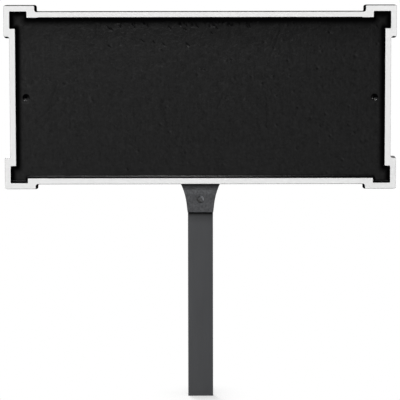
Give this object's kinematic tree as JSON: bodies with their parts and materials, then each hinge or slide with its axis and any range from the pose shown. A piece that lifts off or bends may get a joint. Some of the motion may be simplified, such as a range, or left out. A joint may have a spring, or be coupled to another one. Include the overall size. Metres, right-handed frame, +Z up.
{
  "type": "address plaque",
  "caption": "Blank cast address plaque with a raised white border and stepped corners, on a flared bracket and a flat ground stake.",
  "frame": {"origin": "centre of the bottom end face of the flat bar, which is the ground stake's foot", "axes": "the blank field faces -Y, +Z is up along the bar, +X is to the right as seen from the front"},
  "size_m": [0.3946, 0.028, 0.3985],
  "materials": {
    "plaque_paint": "satin black cast field and sides, with the border's face in white",
    "bracket_paint": "satin charcoal over a fine cast skin",
    "bar_paint": "smooth satin charcoal",
    "black_steel": "charcoal painted over",
    "zinc_steel": "bright zinc"
  },
  "bodies": {
    "root": {"plaque": "plaque_paint", "stake_bracket": "bracket_paint", "ground_bar": "bar_paint", "bar_bolt": "black_steel", "bar_washer": "zinc_steel", "bar_nut": "zinc_steel", "bracket_screw_left": "zinc_steel", "bracket_screw_right": "zinc_steel"}
  },
  "joints": []
}
